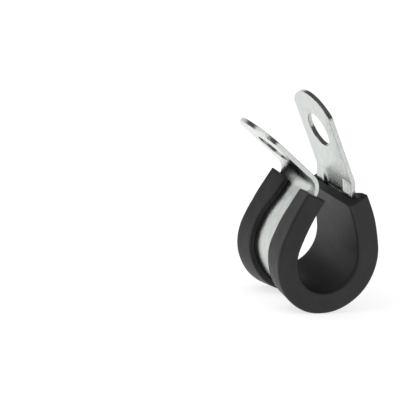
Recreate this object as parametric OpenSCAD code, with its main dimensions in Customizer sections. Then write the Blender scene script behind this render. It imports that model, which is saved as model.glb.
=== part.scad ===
// Rubber-lined P clip for a pipe or a cable bundle, free and unclamped, in millimetres.
// A strip of sheet steel is bent into a loop with a bolt tab at each end. The left tab
// folds outward and the right tab runs almost straight on past a small joggle.
// A rubber liner wraps the loop: a pad inside it, side walls past the band's edges and
// two lips folded over the band's outer face.
// The origin is the centre of the bore, at mid width. The bore runs along Y and the gap
// between the jaws faces +Z. Sketches are drawn in X and Y and stood up at the end.

/* [Loop] */
// Diameter of the bore inside the liner while the jaws stand apart
bore_d = 14.6; // [13:0.1:18]
// Angle above the X axis at which the left arm leaves the round of the loop
left_rise = 17; // [10:0.5:24]
// Angle above the X axis at which the right arm leaves the round of the loop
right_rise = 12; // [6:0.5:20]
// Length of the liner along each arm
arm_len = 12; // [9:0.5:13]
// Bend radius of the left arm, which is nearly straight
left_arm_r = 50; // [36:1:90]
// Bend radius of the right arm
right_arm_r = 32; // [26:1:60]

/* [Band] */
// Width of the band, along the bore
band_w = 15; // [12:0.5:16]
// Thickness of the sheet
band_t = 1; // [0.6:0.1:1.4]
// Diameter of the bolt hole in each tab
hole_d = 7.8; // [5:0.2:8.4]
// Radius of each tab's rounded end, centred on its hole
end_r = 9.1; // [8.6:0.1:11]

/* [Left tab] */
// How far inside the liner's end the band starts to fold outward
bend_inset = 1; // [0:0.1:2]
// Angle of the fold
left_bend = 83.5; // [70:0.5:95]
// Radius of the fold at mid thickness
left_bend_r = 3.5; // [2:0.1:5]
// Distance from the fold to the hole's centre
left_hole_at = 7.4; // [5.6:0.1:10]

/* [Right tab] */
// Outward turn as the band leaves the liner
joggle_out = 23; // [15:0.5:30]
// Radius of that turn at mid thickness
joggle_out_r = 2; // [1:0.1:4]
// Straight run between the joggle's two turns
joggle_run = 2.4; // [1:0.1:4]
// Turn back inward to the tab
joggle_in = 19.5; // [10:0.5:25]
// Radius of the turn back at mid thickness
joggle_in_r = 1.1; // [0.8:0.1:2]
// Distance from the joggle to the hole's centre
right_hole_at = 11; // [7:0.1:14]

/* [Liner] */
// Thickness of the pad inside the loop
pad_t = 1.9; // [1.2:0.1:3]
// Thickness of the side walls beyond the band's edges
side_wall = 2; // [1.5:0.1:2.6]
// Thickness of the lips where they leave the side walls
lip_t = 1.9; // [1.5:0.1:2.6]
// Thickness of the lips at their free edges
lip_edge_t = 1.3; // [0.6:0.1:1.4]
// Width of each lip from the side face to its free edge
lip_w = 5.8; // [4.6:0.1:6.6]
// How far each lip's free corner stands back from the liner's end
lip_setback = 1; // [0.2:0.1:2]
// Rounding of the liner's edges round the bore
bore_edge_r = 0.6; // [0.2:0.1:0.9]
// Rounding of the liner's outer edges
outer_edge_r = 0.25; // [0.1:0.05:0.9]
// Clearance between the band and the groove that holds it
groove_gap = 0.05; // [0.02:0.01:0.15]

/* [Hidden] */

$fn = 120;
past = 1; // how far a cut runs beyond the surface that it leaves
zinc = "lightgray";
rubber = "dimgray";

// The band's mid line is the path that everything follows
loop_r = bore_d / 2 + pad_t + band_t / 2;
fold_at = arm_len - bend_inset;

liner_w = band_w + 2 * side_wall;
wall_in = -band_t / 2 - pad_t; // the bore's face, outward from the mid line
wall_out = band_t / 2 + lip_t; // the lips' outer face
lip_edge = liner_w / 2 - lip_w;

// Each step of a path is [turn, radius], outward turns positive, or [0, length]
left_fold = [[left_bend, left_bend_r]];
right_joggle = [[joggle_out, joggle_out_r], [0, joggle_run], [-joggle_in, joggle_in_r]];

// Bends are a hair slimmer than the stretches they join, and reach a little way into
// them, so that the stretches always join as one solid.
hair = 0.01;
reach = 0.05;

function turn_of(length, radius) = length / radius * 180 / PI;

// Turns the child section about the Z axis, at a radius. In a section X points outward
// from the band's mid line and Y lies along the bore.
module turned(radius, from, to)
    rotate([0, 0, from])
        rotate_extrude(angle = to - from)
            translate([radius, 0])
                children();

// The round of the loop, and how far it runs on into the arms
module round_of_loop(over = 0)
    turned(loop_r, 180 - left_rise - turn_of(over, loop_r), 360 + right_rise + turn_of(over, loop_r))
        children();

// An arm leaves the round without a kink, because their centres and their meeting
// point lie on one line. Arms are drawn on the right, and mirrored for the left.
module arm(rise, radius, length, over = 0)
    rotate([0, 0, rise])
        translate([loop_r - radius, 0, 0])
            turned(radius, -turn_of(over, radius), turn_of(length, radius))
                children();

// Moves the children to the end of an arm, with +X on along the path and +Y inward
module at_arm_end(rise, radius, length)
    rotate([0, 0, rise])
        translate([loop_r - radius, 0, 0])
            rotate([0, 0, turn_of(length, radius)])
                translate([radius, 0, 0])
                    rotate([0, 0, 90])
                        children();

module sheet_section(grow = 0)
    square([band_t + 2 * grow, band_w + 2 * grow], center = true);

// Strip of sheet along a path of steps, with the children at the path's end. grow
// thickens it on every side.
module strip(steps, grow = 0, i = 0) {
    if (i == len(steps)) {
        children();
    } else if (steps[i][0] == 0) {
        length = steps[i][1];
        translate([0, -band_t / 2 - grow, -band_w / 2 - grow])
            cube([length, band_t + 2 * grow, band_w + 2 * grow]);
        translate([length, 0, 0])
            strip(steps, grow, i + 1)
                children();
    } else {
        turn = steps[i][0];
        radius = steps[i][1];
        side = sign(turn);
        over = side * turn_of(reach, radius);
        translate([0, -side * radius, 0])
            rotate([0, 0, side * 90]) {
                turned(radius, over, -turn - over)
                    sheet_section(grow - hair);
                rotate([0, 0, -turn])
                    translate([radius, 0, 0])
                        rotate([0, 0, -side * 90])
                            strip(steps, grow, i + 1)
                                children();
            }
    }
}

// Flat tab from the end of the path, with its end rounded about the bolt hole
module tab(hole_at)
    rotate([90, 0, 0])
        linear_extrude(band_t, center = true)
            difference() {
                intersection() {
                    translate([0, -band_w / 2])
                        square([hole_at + end_r, band_w]);
                    union() {
                        translate([0, -band_w / 2])
                            square([hole_at, band_w]);
                        translate([hole_at, 0])
                            circle(end_r);
                    }
                }
                translate([hole_at, 0])
                    circle(d = hole_d);
            }

module band()
    color(zinc)
        rotate([90, 0, 0]) {
            round_of_loop(reach)
                sheet_section(-hair);
            mirror([1, 0, 0]) {
                arm(left_rise, left_arm_r, fold_at)
                    sheet_section();
                at_arm_end(left_rise, left_arm_r, fold_at)
                    strip(left_fold)
                        tab(left_hole_at);
            }
            arm(right_rise, right_arm_r, arm_len)
                sheet_section();
            at_arm_end(right_rise, right_arm_r, arm_len)
                strip(right_joggle)
                    tab(right_hole_at);
        }

// Flat strip with a rounded edge at both ends, centred on the line at x
module edge_strip(x, half, radius) {
    translate([x - radius, radius - half])
        square([2 * radius, 2 * (half - radius)]);
    for (side = [-1, 1])
        translate([x, side * (half - radius)])
            circle(radius);
}

// Liner's section: a block with rounded corners, hollowed for the band and open outward
// between the lips, which thin toward their free edges. slim takes a little off all round.
module liner_section(slim = 0) {
    inner = wall_in + slim;
    outer = wall_out - slim;
    half = liner_w / 2 - slim;
    opening = lip_edge + slim;
    lip_end = band_t / 2 + lip_edge_t - slim;
    difference() {
        union() {
            translate([inner + bore_edge_r, -half])
                square([outer - inner - bore_edge_r - outer_edge_r, 2 * half]);
            edge_strip(inner + bore_edge_r, half, bore_edge_r);
            edge_strip(outer - outer_edge_r, half, outer_edge_r);
        }
        sheet_section(groove_gap + slim);
        translate([0, -opening])
            square([outer + past, 2 * opening]);
        for (side = [0, 1])
            mirror([0, side])
                polygon([
                    [outer, half - outer_edge_r],
                    [lip_end, opening],
                    [outer + past, opening],
                    [outer + past, half - outer_edge_r]
                ]);
    }
}

// Wedges that slant the lips' ends, from the band's edge back to the free corner
module lip_end_cuts(rise, radius)
    at_arm_end(rise, radius, arm_len)
        translate([0, -band_t / 2, 0])
            rotate([90, 0, 0])
                linear_extrude(lip_t + past)
                    for (side = [0, 1])
                        mirror([0, side])
                            polygon([
                                [0, band_w / 2],
                                [-lip_setback, lip_edge],
                                [-lip_setback, lip_edge - past],
                                [past, lip_edge - past],
                                [past, band_w / 2]
                            ]);

// Liner's stretch along one arm, cut for the lips' ends and for the fold of the band
module liner_arm(rise, radius, fold = [])
    difference() {
        arm(rise, radius, arm_len, reach)
            liner_section(hair);
        lip_end_cuts(rise, radius);
        at_arm_end(rise, radius, fold_at)
            strip(fold, groove_gap);
    }

module liner()
    color(rubber)
        rotate([90, 0, 0]) {
            round_of_loop()
                liner_section();
            mirror([1, 0, 0])
                liner_arm(left_rise, left_arm_r, left_fold);
            liner_arm(right_rise, right_arm_r);
        }

band();
liner();
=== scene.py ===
"""Looks of the rubber-lined P clip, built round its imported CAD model.

The clip's shapes are worked out in millimetres and degrees along the band's mid line,
and placed in metres in the model's own frame.
"""

import math

import bmesh
import bpy
from mathutils import Matrix, Vector, noise
from mathutils.geometry import tessellate_polygon


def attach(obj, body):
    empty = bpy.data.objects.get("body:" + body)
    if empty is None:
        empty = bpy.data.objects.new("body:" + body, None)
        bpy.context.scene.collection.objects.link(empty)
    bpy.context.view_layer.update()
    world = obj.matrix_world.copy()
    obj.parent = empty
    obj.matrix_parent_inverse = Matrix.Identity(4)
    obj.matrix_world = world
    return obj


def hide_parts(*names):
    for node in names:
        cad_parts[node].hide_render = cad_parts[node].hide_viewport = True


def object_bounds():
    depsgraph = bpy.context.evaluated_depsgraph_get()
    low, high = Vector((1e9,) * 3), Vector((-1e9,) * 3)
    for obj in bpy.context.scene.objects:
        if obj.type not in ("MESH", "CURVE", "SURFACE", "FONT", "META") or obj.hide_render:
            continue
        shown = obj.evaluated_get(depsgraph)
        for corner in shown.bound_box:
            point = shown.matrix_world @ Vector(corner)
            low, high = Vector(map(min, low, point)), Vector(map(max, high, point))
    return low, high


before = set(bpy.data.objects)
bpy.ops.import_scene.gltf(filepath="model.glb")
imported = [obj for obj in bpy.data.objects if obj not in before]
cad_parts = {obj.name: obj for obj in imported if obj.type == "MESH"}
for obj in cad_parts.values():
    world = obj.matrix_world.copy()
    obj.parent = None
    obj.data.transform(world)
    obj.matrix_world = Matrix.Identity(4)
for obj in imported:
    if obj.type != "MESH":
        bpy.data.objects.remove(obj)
cad_low, cad_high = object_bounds()
MM = 0.001
TINY = 1e-9

# Driving dimensions, the same as the part's
BORE_D, PAD_T, BAND_T, BAND_W = 14.6, 1.9, 1.0, 15.0
LEFT_RISE, RIGHT_RISE, ARM_LEN = 17, 12, 12
LEFT_ARM_R, RIGHT_ARM_R = 50, 32
HOLE_R, END_R = 3.9, 9.1
BEND_INSET, LEFT_BEND, LEFT_BEND_R, LEFT_HOLE_AT = 1, 83.5, 3.5, 7.4
JOGGLE_OUT, JOGGLE_OUT_R, JOGGLE_IN, RIGHT_HOLE_AT = 23, 2, 19.5, 11
SIDE_WALL, LIP_T, LIP_EDGE_T, LIP_W, LIP_SETBACK = 2.0, 1.9, 1.3, 5.8, 1.0
BORE_EDGE_R, GROOVE_GAP = 0.6, 0.05

LOOP_R = BORE_D / 2 + PAD_T + BAND_T / 2
HALF_W = BAND_W / 2
LINER_HALF = HALF_W + SIDE_WALL
FACE_H = BAND_T / 2               # the band's outer face, from the mid line
PAD_IN = -BAND_T / 2 - PAD_T      # the bore's face


# ---------------------------------------------------------------- paths

# A path is a list of steps (curvature, length). Inward turns are positive.

def bend(turn, radius):
    return math.copysign(1 / radius, turn), radius * math.radians(abs(turn))


def straight(length):
    return 0, length


RIGHT_ROUND = bend(90 + RIGHT_RISE, LOOP_R)
LEFT_ROUND = bend(90 + LEFT_RISE, LOOP_R)
RIGHT_ARM = [RIGHT_ROUND, (1 / RIGHT_ARM_R, ARM_LEN)]
LEFT_ARM = [LEFT_ROUND, (1 / LEFT_ARM_R, ARM_LEN)]

# The press pushes the middle of the joggle further out than its sides, and begins
# inside the liner's end. Both paths finish where the part's plain joggle does, which
# sets the values given to six places.
JOGGLE_START = 1.3
PRESS_OUT, PRESS_BACK, PRESS_R, PRESS_RUN = 40, 25, 0.6, 0.333914
SLACK_BEND, SLACK_R = 13.827641, 16.052953
SIDE_RUN, SIDE_IN_R, SIDE_REST = 2.546057, 0.25, 0.146057
MIDDLE_JOGGLE = [
    bend(-PRESS_OUT, PRESS_R), straight(PRESS_RUN), bend(PRESS_BACK, PRESS_R),
    bend(SLACK_BEND, SLACK_R),
]
SIDE_JOGGLE = [
    (1 / RIGHT_ARM_R, JOGGLE_START), bend(-JOGGLE_OUT, JOGGLE_OUT_R), straight(SIDE_RUN),
    bend(JOGGLE_IN, SIDE_IN_R), straight(SIDE_REST),
]
# Where the middle blends into the sides, from mid width toward -Y and toward +Y
NEAR_FLANK, FAR_FLANK = (3.0, 3.6), (3.6, 5.0)

RIGHT_STEM = [RIGHT_ROUND, (1 / RIGHT_ARM_R, ARM_LEN - JOGGLE_START)]
RIGHT_TAB = [straight(RIGHT_HOLE_AT + END_R)]
RIGHT_PATH = RIGHT_STEM + MIDDLE_JOGGLE + RIGHT_TAB
RIGHT_SIDE_PATH = RIGHT_STEM + SIDE_JOGGLE + RIGHT_TAB
LEFT_PATH = [
    LEFT_ROUND,
    (1 / LEFT_ARM_R, ARM_LEN - BEND_INSET),
    bend(-LEFT_BEND, LEFT_BEND_R),
    straight(LEFT_HOLE_AT + END_R),
]

# Spacing of the rows along a path
TIGHT_CURVE = 0.15    # curvature from which a bend counts as tight
TIGHT_SHARE = 0.45    # a tight bend's spacing, as a share of the usual one
TURN_STEP = 0.12      # most that one row turns from the last, in radians


def smoothstep(a, b, x):
    t = min(1, max(0, (x - a) / (b - a)))
    return t * t * (3 - 2 * t)


def reach_of(steps):
    return sum(length for _, length in steps)


def on_path(steps, s, w, h):
    """Point s along the mid line from the loop's bottom, w toward +Y and h outward, in
    millimetres."""
    x, z, turn = 0.0, -LOOP_R, 0.0
    left = s
    for i, (curve, length) in enumerate(steps):
        step = left if i == len(steps) - 1 else min(left, length)
        if curve:
            x += (math.sin(turn + curve * step) - math.sin(turn)) / curve
            z += (math.cos(turn) - math.cos(turn + curve * step)) / curve
            turn += curve * step
        else:
            x += step * math.cos(turn)
            z += step * math.sin(turn)
        left -= step
        if left <= 0:
            break
    return Vector((x + h * math.sin(turn), w, z - h * math.cos(turn)))


def on_strip(right, left, q, w, h):
    """Point in metres. q is negative toward the left end, positive toward the right."""
    point = on_path(right if q >= 0 else left, abs(q), w, h)
    if q < 0:
        point.x = -point.x
    return point * MM


def on_band(q, w, h):
    """Point of the band, which blends from the joggle's middle into its sides."""
    middle = on_strip(RIGHT_PATH, LEFT_PATH, q, w, h)
    stem, length = reach_of(RIGHT_STEM), reach_of(MIDDLE_JOGGLE)
    share = smoothstep(*NEAR_FLANK, -w) + smoothstep(*FAR_FLANK, w)
    if q <= stem or share == 0:
        return middle
    side_length = reach_of(SIDE_JOGGLE)
    side_q = q + side_length - length
    if q < stem + length:
        side_q = stem + (q - stem) * side_length / length
    return middle.lerp(on_strip(RIGHT_SIDE_PATH, LEFT_PATH, side_q, w, h), share)


def stations(steps, fine):
    """Distances along a path, close together where it turns tightly."""
    out, start = [], 0.0
    for curve, length in steps:
        gap = fine if abs(curve) < TIGHT_CURVE else fine * TIGHT_SHARE
        gap = min(gap, TURN_STEP / abs(curve)) if curve else fine
        n = max(2, math.ceil(length / gap))
        out += [start + length * i / n for i in range(n)]
        start += length
    return out


# ---------------------------------------------------------------- meshes

TEXTURE_MM = 10       # millimetres to one unit of the strip's texture map
WELD = 2e-7           # points closer than this, in metres, become one


def link_object(name, data):
    obj = bpy.data.objects.new(name, data)
    bpy.context.scene.collection.objects.link(obj)
    return obj


def mesh_object(name, points, faces, uvs, zones=None):
    mesh = bpy.data.meshes.new(name)
    mesh.from_pydata(points, [], faces)
    layer = mesh.uv_layers.new(name="strip")
    for loop in mesh.loops:
        layer.data[loop.index].uv = uvs[loop.vertex_index]
    for i, polygon in enumerate(mesh.polygons):
        polygon.use_smooth = True
        if zones:
            polygon.material_index = zones[i]
    mesh.validate()
    obj = link_object(name, mesh)
    join_seams(obj)
    return obj


def join_seams(obj):
    """Joins the points that coincide, and turns every face outward."""
    bm = bmesh.new()
    bm.from_mesh(obj.data)
    bmesh.ops.remove_doubles(bm, verts=bm.verts, dist=WELD)
    bmesh.ops.recalc_face_normals(bm, faces=bm.faces)
    bm.to_mesh(obj.data)
    bm.free()


# ---------------------------------------------------------------- band

EDGE_R = 0.1          # roll along the sheet's edges
SUPPORT = 0.06        # from the roll to the first row of the flat
EDGE_ROWS = (-0.3, -0.1, 0.1, 0.22, 0.34)    # heights of the rows between an edge's rolls
FACE, SHEAR = 0, 1    # material zones
SHEAR_LOW, SHEAR_TOP = -FACE_H + EDGE_R / 2, 0.23    # the torn part of a cut edge
CORNER_SLACK = 1e-6   # allowed in telling a tab's round end from its sides
BAND_GAP = 0.5        # usual spacing of the rows along the strip
COLUMNS = 44          # over the strip's width
JOGGLE_ROWS = 60
STUB_ROWS = 7         # between the joggle and the right tab's rings
SIDE_ROWS, ARC_ROWS, RINGS = 16, 44, 9    # along a tab's sides, round its end, inward
LEFT_RING_INSET = 0.1    # from the fold to the left tab's rings


def across():
    """Columns over the band's width, with support lines close to the edges."""
    inner = HALF_W - EDGE_R
    flat = inner - SUPPORT
    return [-inner] + [-flat + 2 * flat * i / COLUMNS for i in range(COLUMNS + 1)] + [inner]


def tab_ring(inset, back, cols):
    """Outline of a tab round its hole, inset from the sheet's edge: (u, w, nu, nw)."""
    half, radius = HALF_W - inset, END_R - inset
    corner = math.asin(half / radius)
    u_end = radius * math.cos(corner)
    ring = [(-back, w, -1, 0) for w in cols]
    for i in range(1, SIDE_ROWS + 1):
        ring.append((-back + (u_end + back) * i / SIDE_ROWS, half, 0, 1))
    for i in range(1, ARC_ROWS):
        a = corner - 2 * corner * i / ARC_ROWS
        ring.append((radius * math.cos(a), radius * math.sin(a), math.cos(a), math.sin(a)))
    for i in range(SIDE_ROWS):
        ring.append((u_end - (u_end + back) * i / SIDE_ROWS, -half, 0, -1))
    return ring


def edge_profile():
    """Sheet's rounded edge from its inner face to its outer one: (outward, h) pairs."""
    turn = [math.radians(a) for a in (0, 30, 60, 90)]
    low = [(EDGE_R * math.sin(a), -FACE_H + EDGE_R * (1 - math.cos(a))) for a in turn]
    return low + [(EDGE_R, h) for h in EDGE_ROWS] + [(d, -h) for d, h in reversed(low)]


class Sheet:
    """Collects the band's points and faces in strip coordinates, then bends them."""

    def __init__(self):
        self.points, self.flat, self.faces, self.zones, self.index = [], [], [], [], {}

    def add(self, q, w, h):
        key = (round(q, 4), round(w, 4), round(h, 4))
        if key not in self.index:
            self.index[key] = len(self.points)
            self.points.append(on_band(q, w, h))
            self.flat.append((q / TEXTURE_MM, w / TEXTURE_MM))
        return self.index[key]

    def face(self, corners, zone=FACE):
        ids = []
        for corner in corners:
            i = self.add(*corner)
            if i not in ids:
                ids.append(i)
        if len(ids) > 2:
            self.faces.append(ids)
            self.zones.append(zone)


def add_strip(sheet, rows, cols, profile):
    """The strip between the tabs: its two faces and its rounded edges."""
    for q0, q1 in zip(rows, rows[1:]):
        for w0, w1 in zip(cols, cols[1:]):
            for h in (-FACE_H, FACE_H):
                sheet.face([(q0, w0, h), (q1, w0, h), (q1, w1, h), (q0, w1, h)])
        for side in (-1, 1):
            edge = side * (HALF_W - EDGE_R)
            for (d0, h0), (d1, h1) in zip(profile, profile[1:]):
                w0, w1 = edge + side * d0, edge + side * d1
                sheet.face([(q0, w0, h0), (q1, w0, h0), (q1, w1, h1), (q0, w1, h1)])


def add_wall(sheet, stops, at, is_cut, profile):
    """The edge's profile swept along stops, with its torn part where is_cut says."""
    for a, b in zip(stops, stops[1:]):
        for (d0, h0), (d1, h1) in zip(profile, profile[1:]):
            torn = is_cut(a, b) and h0 > SHEAR_LOW and h1 < SHEAR_TOP
            sheet.face([
                (*at(a, d0), h0), (*at(b, d0), h0), (*at(b, d1), h1), (*at(a, d1), h1),
            ], SHEAR if torn else FACE)


def add_tab(sheet, sign, centre, back, cols, profile):
    """A tab, as rings round its hole, with its outer rim and the hole's wall."""
    def place(u, w):
        return sign * (centre + u), w

    outer = tab_ring(EDGE_R, back, cols)
    near = tab_ring(EDGE_R + SUPPORT, back, [min(max(w, cols[1]), cols[-2]) for w in cols])
    angles = [math.atan2(w, u) for u, w, _, _ in near]
    bore = [(math.cos(a), math.sin(a)) for a in angles]
    hole = HOLE_R + EDGE_R
    inner = hole + SUPPORT
    rings = [[(u, w) for u, w, _, _ in outer]]
    for k in range(RINGS + 1):
        t = k / RINGS
        rings.append([
            (u + (c * inner - u) * t, w + (s * inner - w) * t)
            for (u, w, _, _), (c, s) in zip(near, bore)
        ])
    rings.append([(c * hole, s * hole) for c, s in bore])
    n = len(outer)
    for r0, r1 in zip(rings, rings[1:]):
        for i in range(n):
            j = (i + 1) % n
            quad = [place(*r0[i]), place(*r0[j]), place(*r1[j]), place(*r1[i])]
            for h in (-FACE_H, FACE_H):
                sheet.face([(*p, h) for p in quad])
    # The rim runs all round, except where the tab joins the strip
    first, last = outer[len(cols) - 1], outer[0]
    rim = [(*first[:2], 0, 1)] + outer[len(cols):] + [(*last[:2], 0, -1)]
    corner_u = outer[len(cols) + SIDE_ROWS - 1][0]
    add_wall(
        sheet, rim, lambda p, d: place(p[0] + p[2] * d, p[1] + p[3] * d),
        lambda a, b: min(a[0], b[0]) > corner_u - CORNER_SLACK, profile,
    )
    add_wall(
        sheet, bore + bore[:1], lambda p, d: place(p[0] * (hole - d), p[1] * (hole - d)),
        lambda a, b: True, profile,
    )


def build_band():
    sheet, cols, profile = Sheet(), across(), edge_profile()
    stem, length = reach_of(RIGHT_STEM), reach_of(MIDDLE_JOGGLE)
    tab_l, tab_r = reach_of(LEFT_PATH[:-1]), reach_of(RIGHT_PATH[:-1])
    hole_l, hole_r = tab_l + LEFT_HOLE_AT, tab_r + RIGHT_HOLE_AT
    back_l, back_r = LEFT_HOLE_AT - LEFT_RING_INSET, HALF_W
    stub = (hole_r - back_r) - tab_r
    rows = [-(hole_l - back_l), -tab_l]
    rows += [-s for s in reversed(stations(LEFT_PATH[:-1], BAND_GAP))]
    rows += [s for s in stations(RIGHT_STEM, BAND_GAP) if s > 0]
    rows += [stem + length * i / JOGGLE_ROWS for i in range(JOGGLE_ROWS)]
    rows += [tab_r + stub * i / STUB_ROWS for i in range(STUB_ROWS + 1)]
    add_strip(sheet, rows, cols, profile)
    add_tab(sheet, 1, hole_r, back_r, cols, profile)
    add_tab(sheet, -1, hole_l, back_l, cols, profile)
    return mesh_object("band_sheet", sheet.points, sheet.faces, sheet.flat, sheet.zones)


# ---------------------------------------------------------------- liner

LINER_GAP = 0.45                  # usual spacing of the rows along the liner
LIP_OUTER_R, LIP_TIP_R = 0.4, 0.22    # roundings of a lip's outer and free edges
LIP_SINK = 0.02                   # how far the outer rounding stays below the lip's height
LIP_BEVEL = 0.05                  # on a lip's free edge, next to the band
# The ends' rounding: distance from the end, and how far the section is drawn in
END_ROWS = [(0.0, 0.14), (0.04, 0.06), (0.14, 0.0)]
END_CLEAR = 0.3                   # the other rows keep this far from an end
# Changes of the lips' free edges, by distance from the loop's bottom toward the left
# jaw: the size of the change, where it comes in and where it goes out again
FAR_LIP_DIP = (1.1, (7, 14), (19.5, 26))
NEAR_LIP_SWELL = (0.35, (12, 16), (22, 26))
FAR_LIP_JAW = (0.4, (23, 27.5))
JAW_TAPER, JAW_TAPER_FROM = 0.9, 12    # how far the left walls draw in, and from where
# How far the left jaw's end slants back at the lips' outer face: its near half, the far
# side wall, and what is added toward the far lip's free edge
JAW_SLANT_NEAR, JAW_SLANT_FAR, JAW_SLANT_LIP = 0.9, 0.2, 0.65
END_REACH = 5                     # how far from an end its slant is felt
# Waves on the lips' outer side
WAVE, WAVE_FROM = 0.05, FACE_H + 0.2          # their height, and the level they start at
WAVE_SHARE, WAVE_FULL = 0.4, FACE_H + 0.3     # share of the height below the full level
WAVE_ALONG, WAVE_ACROSS, WAVE_AT = 0.35, 0.5, 3.1    # scale and layer of their noise


def corner_arc(cx, cy, radius, start, end, n):
    """Points of a rounded corner: centre, radius and angles in degrees."""
    angles = [math.radians(start + (end - start) * i / n) for i in range(n + 1)]
    return [(cx + radius * math.cos(a), cy + radius * math.sin(a)) for a in angles]


def spread(a, b, n):
    """Points strictly between two ends, which they cut into n steps."""
    return [(a[0] + (b[0] - a[0]) * i / n, a[1] + (b[1] - a[1]) * i / n) for i in range(1, n)]


def liner_side(half, edge):
    """Half a section as (w, h) points, the same count for every size."""
    top, lip_top = FACE_H + LIP_T, FACE_H + LIP_EDGE_T
    under, floor = FACE_H + GROOVE_GAP, -FACE_H - GROOVE_GAP
    groove = HALF_W + GROOVE_GAP
    slope = math.degrees(math.atan2(top - lip_top, half - edge))
    lip_tip = corner_arc(edge + LIP_TIP_R, lip_top - LIP_TIP_R, LIP_TIP_R, 90 + slope, 180, 4)
    side = spread((0, PAD_IN), (half - BORE_EDGE_R, PAD_IN), 12)
    side += corner_arc(half - BORE_EDGE_R, PAD_IN + BORE_EDGE_R, BORE_EDGE_R, -90, 0, 6)
    side += spread((half, PAD_IN + BORE_EDGE_R), (half, top - LIP_OUTER_R), 8)
    side += corner_arc(
        half - LIP_OUTER_R, top - LIP_OUTER_R - LIP_SINK, LIP_OUTER_R, 0, 90 + slope * 0.5, 6
    )
    side += spread(side[-1], lip_tip[0], 9)
    side += lip_tip
    side += [(edge, under + LIP_BEVEL), (edge + LIP_BEVEL, under)]
    side += spread((edge + LIP_BEVEL, under), (groove, under), 6)
    side += [(groove, under), (groove, floor)]
    side += spread((groove, floor), (0, floor), 8)
    return side


def liner_profile(half, far_edge, near_edge):
    """Closed section: bore side, far wall and lip, groove, near lip and wall."""
    far = liner_side(half, far_edge)
    near = [(-w, h) for w, h in reversed(liner_side(half, near_edge))]
    return [(0, PAD_IN)] + far + [(0, -FACE_H - GROOVE_GAP)] + near


def hump(size, rise, fall, s):
    """A change that comes in over one range of s and goes out over another."""
    return size * smoothstep(*rise, s) * (1 - smoothstep(*fall, s))


def lip_edges(q):
    """Where the far and near lips end at q: moulded rubber, so they wander a little."""
    edge, s = LINER_HALF - LIP_W, -q
    jaw_swell, jaw = FAR_LIP_JAW
    far = edge + hump(*FAR_LIP_DIP, s) - jaw_swell * smoothstep(*jaw, s)
    near = edge - hump(*NEAR_LIP_SWELL, s)
    return far, near


def end_pull(q, w, h, half, edge):
    """How far an end's face is drawn back along the strip from a square cut."""
    if q > 0:
        if h > FACE_H and abs(w) < HALF_W:
            return LIP_SETBACK * (HALF_W - abs(w)) / (HALF_W - edge)
        return 0.0
    rise = (h + FACE_H + PAD_T) / (BAND_T + PAD_T + LIP_T)
    if w < 0:
        return JAW_SLANT_NEAR * rise
    lip = min(1, (half - w) / (half - edge))
    return (JAW_SLANT_FAR + JAW_SLANT_LIP * lip) * rise


def wave(q, w, h):
    """Slight unevenness of the lips' outer side."""
    if h <= WAVE_FROM:
        return 0.0
    share = 1 if h > WAVE_FULL else WAVE_SHARE
    return noise.noise(Vector((q * WAVE_ALONG, w * WAVE_ACROSS, WAVE_AT))) * WAVE * share


def inset(section, amount):
    """Section drawn in by a small amount, for the rounded edges of the ends."""
    n = len(section)
    out = []
    for i in range(n):
        (x0, y0), (x1, y1), (x2, y2) = section[i - 1], section[i], section[(i + 1) % n]
        a, b = Vector((x1 - x0, y1 - y0)), Vector((x2 - x1, y2 - y1))
        a = a.normalized() if a.length > TINY else b.normalized()
        b = b.normalized() if b.length > TINY else a
        normal = Vector((-(a.y + b.y), a.x + b.x)).normalized()
        out.append((x1 + normal.x * amount, y1 + normal.y * amount))
    return out


def build_liner():
    left_len, right_len = reach_of(LEFT_ARM), reach_of(RIGHT_ARM)
    left, right = stations(LEFT_ARM, LINER_GAP), stations(RIGHT_ARM, LINER_GAP)
    rows = [(-left_len + back, drawn) for back, drawn in END_ROWS]
    rows += [(-s, 0.0) for s in reversed(left) if s < left_len - END_CLEAR]
    rows += [(s, 0.0) for s in right if 0 < s < right_len - END_CLEAR]
    rows += [(right_len - back, drawn) for back, drawn in reversed(END_ROWS)]
    points, uvs, faces, sections = [], [], [], []
    for q, drawn in rows:
        limit = right_len if q > 0 else left_len
        taper = 0.0 if q > 0 else JAW_TAPER * smoothstep(JAW_TAPER_FROM, left_len, -q)
        half = LINER_HALF - taper
        far_edge, near_edge = lip_edges(q)
        section = liner_profile(half, far_edge, near_edge)
        if drawn:
            section = inset(section, drawn)
        sections.append(section)
        near_end = smoothstep(limit - END_REACH, limit, abs(q))
        for w, h in section:
            pull = end_pull(q, w, h, half, far_edge if w > 0 else near_edge)
            shifted = math.copysign(abs(q) - pull * near_end, q)
            points.append(on_strip(RIGHT_ARM, LEFT_ARM, shifted, w, h + wave(q, w, h)))
            uvs.append((q / TEXTURE_MM, (w + h) / TEXTURE_MM))
    count = len(sections[0])
    for start in range(0, (len(rows) - 1) * count, count):
        for i in range(count):
            j = (i + 1) % count
            faces.append((start + i, start + j, start + count + j, start + count + i))
    cap = tessellate_polygon([[Vector((w, h, 0)) for w, h in sections[0]]])
    for start in (0, (len(rows) - 1) * count):
        faces += [tuple(start + i for i in triangle) for triangle in cap]
    return mesh_object("liner_rubber", points, faces, uvs)


# ---------------------------------------------------------------- materials

def new_material(name):
    material = bpy.data.materials.new(name)
    material.use_nodes = True
    tree = material.node_tree
    return material, tree.nodes, tree.links, tree.nodes["Principled BSDF"]


def strip_map(nodes):
    uv = nodes.new("ShaderNodeUVMap")
    uv.uv_map = "strip"
    return uv.outputs["UV"]


def stretched(nodes, links, source, scale):
    mapping = nodes.new("ShaderNodeMapping")
    mapping.inputs["Scale"].default_value = scale
    links.new(source, mapping.inputs["Vector"])
    return mapping.outputs["Vector"]


def noise_of(nodes, links, source, scale, detail):
    texture = nodes.new("ShaderNodeTexNoise")
    texture.inputs["Scale"].default_value = scale
    texture.inputs["Detail"].default_value = detail
    links.new(source, texture.inputs["Vector"])
    return texture.outputs["Fac"]


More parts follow.
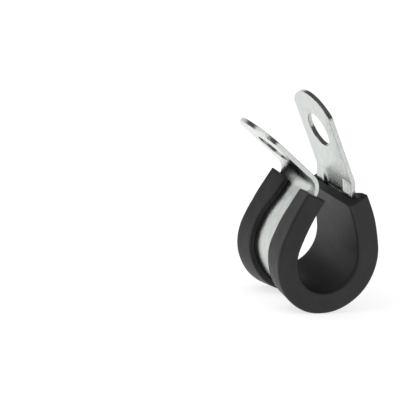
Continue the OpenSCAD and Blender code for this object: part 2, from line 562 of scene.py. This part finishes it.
def ramp_of(nodes, links, value, low, high, high_at=0.7):
    """Colours, or greys for a plain value, between which the noise runs."""
    ramp = nodes.new("ShaderNodeValToRGB")
    for element, at, color in zip(ramp.color_ramp.elements, (0.3, high_at), (low, high)):
        element.position = at
        element.color = (*color, 1)
    links.new(value, ramp.inputs["Fac"])
    return ramp.outputs["Color"]


def bump_of(nodes, links, height, strength, distance, normal=None):
    bump = nodes.new("ShaderNodeBump")
    bump.inputs["Strength"].default_value = strength
    bump.inputs["Distance"].default_value = distance
    links.new(height, bump.inputs["Height"])
    if normal:
        links.new(normal, bump.inputs["Normal"])
    return bump.outputs["Normal"]


def zinc_material():
    """Bright plate with fine rolling marks along the strip and short ripples across."""
    material, nodes, links, shader = new_material("zinc_plate")
    uv = strip_map(nodes)
    cloud = noise_of(nodes, links, stretched(nodes, links, uv, (1.5, 3, 1)), scale=3, detail=6)
    marks = noise_of(nodes, links, stretched(nodes, links, uv, (6, 160, 1)), scale=1, detail=4)
    ripple = noise_of(nodes, links, stretched(nodes, links, uv, (70, 25, 1)), scale=1, detail=2)
    tint = ramp_of(nodes, links, cloud, (0.52, 0.55, 0.53), (0.62, 0.645, 0.625))
    rough = ramp_of(nodes, links, marks, (0.06, 0.06, 0.06), (0.13, 0.13, 0.13))
    normal = bump_of(nodes, links, marks, strength=0.5, distance=0.00002)
    normal = bump_of(nodes, links, ripple, strength=0.8, distance=0.00005, normal=normal)
    shader.inputs["Metallic"].default_value = 1
    links.new(tint, shader.inputs["Base Color"])
    links.new(rough, shader.inputs["Roughness"])
    links.new(normal, shader.inputs["Normal"])
    return material


def shear_material():
    """Bare grey steel where the press tore the edge."""
    material, nodes, links, shader = new_material("sheared_edge")
    coords = nodes.new("ShaderNodeTexCoord").outputs["Object"]
    grain = noise_of(nodes, links, coords, scale=2500, detail=4)
    tint = ramp_of(nodes, links, grain, (0.36, 0.36, 0.345), (0.56, 0.56, 0.545))
    shader.inputs["Metallic"].default_value = 1
    shader.inputs["Roughness"].default_value = 0.22
    links.new(tint, shader.inputs["Base Color"])
    normal = bump_of(nodes, links, grain, strength=0.6, distance=0.00003)
    links.new(normal, shader.inputs["Normal"])
    return material


def rubber_material():
    """Matt black rubber with a faint bloom, streaks along the strip and a fine grain."""
    material, nodes, links, shader = new_material("moulded_rubber")
    coords = nodes.new("ShaderNodeTexCoord").outputs["Object"]
    along = stretched(nodes, links, strip_map(nodes), (4, 45, 1))
    bloom = noise_of(nodes, links, coords, scale=260, detail=5)
    streak = noise_of(nodes, links, along, scale=1, detail=5)
    grain = noise_of(nodes, links, coords, scale=4200, detail=3)
    tint = ramp_of(
        nodes, links, bloom, (0.006, 0.006, 0.0062), (0.0135, 0.0132, 0.0128), high_at=0.72
    )
    rough = ramp_of(nodes, links, streak, (0.46, 0.46, 0.46), (0.6, 0.6, 0.6))
    normal = bump_of(nodes, links, grain, strength=0.2, distance=0.00002)
    normal = bump_of(nodes, links, bloom, strength=0.25, distance=0.0001, normal=normal)
    links.new(tint, shader.inputs["Base Color"])
    links.new(rough, shader.inputs["Roughness"])
    links.new(normal, shader.inputs["Normal"])
    return material


# ---------------------------------------------------------------- camera, light, floor

CAMERA_TILT, CAMERA_TURN = 0.3097260, 0.4919754    # down and to the side, in radians
CAMERA_AIM = (0.0228832, -0.0096991, -0.638955)    # the origin from the camera: right, up, back
LENS, SENSOR = 270, 36
CLIP_NEAR, CLIP_FAR = 0.05, 10

# The key lamp, in metres and watts
KEY_PLACE, KEY_TARGET, KEY_SIZE, KEY_POWER = (-0.4, -0.05, 0.38), (0, 0, 0.005), 0.45, 0.9

STUDIO_UP = (0, -0.2, 1)          # which way the studio darkens
STUDIO_EDGE = (0.1, 0.26)         # where it goes from white to dim
STUDIO_DIM, STUDIO_FILL = 0.12, 0.62    # strengths of the dim part and the even fill

FLOOR_SIZE, FLOOR_GREY, FLOOR_ROUGH = 3, 0.5, 0.9
FLOOR_GLOW, FLOOR_GLOW_SEEN = 0.3, 0.7    # in the light it gives, and where it is seen


def camera_axes(tilt, turn):
    """The camera's right, up and back axes in the object's frame."""
    ct, st = math.cos(tilt), math.sin(tilt)
    cy, sy = math.cos(turn), math.sin(turn)
    rows = [(cy, sy * st, sy * ct), (0, ct, -st), (-sy, cy * st, cy * ct)]
    return [Vector((x, -z, y)) for x, y, z in rows]


def make_camera():
    right, up, back = camera_axes(CAMERA_TILT, CAMERA_TURN)
    camera = link_object("camera", bpy.data.cameras.new("camera"))
    camera.data.lens = LENS
    camera.data.sensor_width = SENSOR
    world = Matrix((right, up, back)).transposed().to_4x4()
    world.translation = -(right * CAMERA_AIM[0] + up * CAMERA_AIM[1] + back * CAMERA_AIM[2])
    camera.matrix_world = world
    camera.data.clip_start = CLIP_NEAR
    camera.data.clip_end = CLIP_FAR
    bpy.context.scene.camera = camera


def make_key_lamp():
    lamp = bpy.data.lights.new("key", "AREA")
    lamp.shape = "SQUARE"
    lamp.size = KEY_SIZE
    lamp.energy = KEY_POWER
    obj = link_object("key", lamp)
    obj.location = KEY_PLACE
    back = Vector(KEY_PLACE) - Vector(KEY_TARGET)
    obj.rotation_euler = back.to_track_quat("Z", "Y").to_euler()


def math_node(nodes, links, operation, first, second):
    node = nodes.new("ShaderNodeMath")
    node.operation = operation
    links.new(first, node.inputs[0])
    links.new(second, node.inputs[1])
    return node.outputs[0]


def seen_directly(nodes, links):
    """1 where a camera, glossy or transmission ray looks, else 0."""
    path = nodes.new("ShaderNodeLightPath").outputs
    seen = math_node(nodes, links, "MAXIMUM", path["Is Camera Ray"], path["Is Glossy Ray"])
    return math_node(nodes, links, "MAXIMUM", seen, path["Is Transmission Ray"])


def make_world():
    """The camera sees white, reflections see white low down and dim above, and the
    rest is lit by an even fill."""
    world = bpy.data.worlds.new("studio")
    bpy.context.scene.world = world
    world.use_nodes = True
    nodes, links = world.node_tree.nodes, world.node_tree.links
    background = nodes["Background"]
    background.inputs["Color"].default_value = (1, 1, 1, 1)
    above = nodes.new("ShaderNodeVectorMath")
    above.operation = "DOT_PRODUCT"
    above.inputs[1].default_value = STUDIO_UP
    links.new(nodes.new("ShaderNodeTexCoord").outputs["Generated"], above.inputs[0])
    studio = nodes.new("ShaderNodeMapRange")
    studio.interpolation_type = "SMOOTHSTEP"
    studio.inputs["From Min"].default_value = STUDIO_EDGE[0]
    studio.inputs["From Max"].default_value = STUDIO_EDGE[1]
    studio.inputs["To Min"].default_value = 1
    studio.inputs["To Max"].default_value = STUDIO_DIM
    links.new(above.outputs["Value"], studio.inputs["Value"])
    path = nodes.new("ShaderNodeLightPath").outputs
    fill = nodes.new("ShaderNodeMix")
    fill.inputs["A"].default_value = STUDIO_FILL
    links.new(path["Is Glossy Ray"], fill.inputs["Factor"])
    links.new(studio.outputs["Result"], fill.inputs["B"])
    strength = math_node(
        nodes, links, "MAXIMUM", path["Is Camera Ray"], fill.outputs["Result"]
    )
    links.new(strength, background.inputs["Strength"])


def make_floor():
    mesh = bpy.data.meshes.new("floor")
    corners = [
        (x * FLOOR_SIZE, y * FLOOR_SIZE, cad_low.z)
        for x, y in ((-1, -1), (1, -1), (1, 1), (-1, 1))
    ]
    mesh.from_pydata(corners, [], [(0, 1, 2, 3)])
    floor = link_object("floor", mesh)
    material, nodes, links, shader = new_material("pale_floor")
    shader.inputs["Base Color"].default_value = (FLOOR_GREY, FLOOR_GREY, FLOOR_GREY, 1)
    shader.inputs["Roughness"].default_value = FLOOR_ROUGH
    shader.inputs["Specular IOR Level"].default_value = 0
    shader.inputs["Emission Color"].default_value = (1, 1, 1, 1)
    glow = nodes.new("ShaderNodeMapRange")
    glow.inputs["To Min"].default_value = FLOOR_GLOW
    glow.inputs["To Max"].default_value = FLOOR_GLOW_SEEN
    links.new(seen_directly(nodes, links), glow.inputs["Value"])
    links.new(glow.outputs["Result"], shader.inputs["Emission Strength"])
    mesh.materials.append(material)


# ---------------------------------------------------------------- scene

make_camera()
make_world()
make_floor()
make_key_lamp()

zinc, shear, rubber = zinc_material(), shear_material(), rubber_material()
band = build_band()
for material in (zinc, shear):
    band.data.materials.append(material)
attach(band, "root")
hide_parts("band")
liner = build_liner()
liner.data.materials.append(rubber)
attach(liner, "root")
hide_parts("liner")

bpy.context.scene.view_settings.view_transform = "Standard"
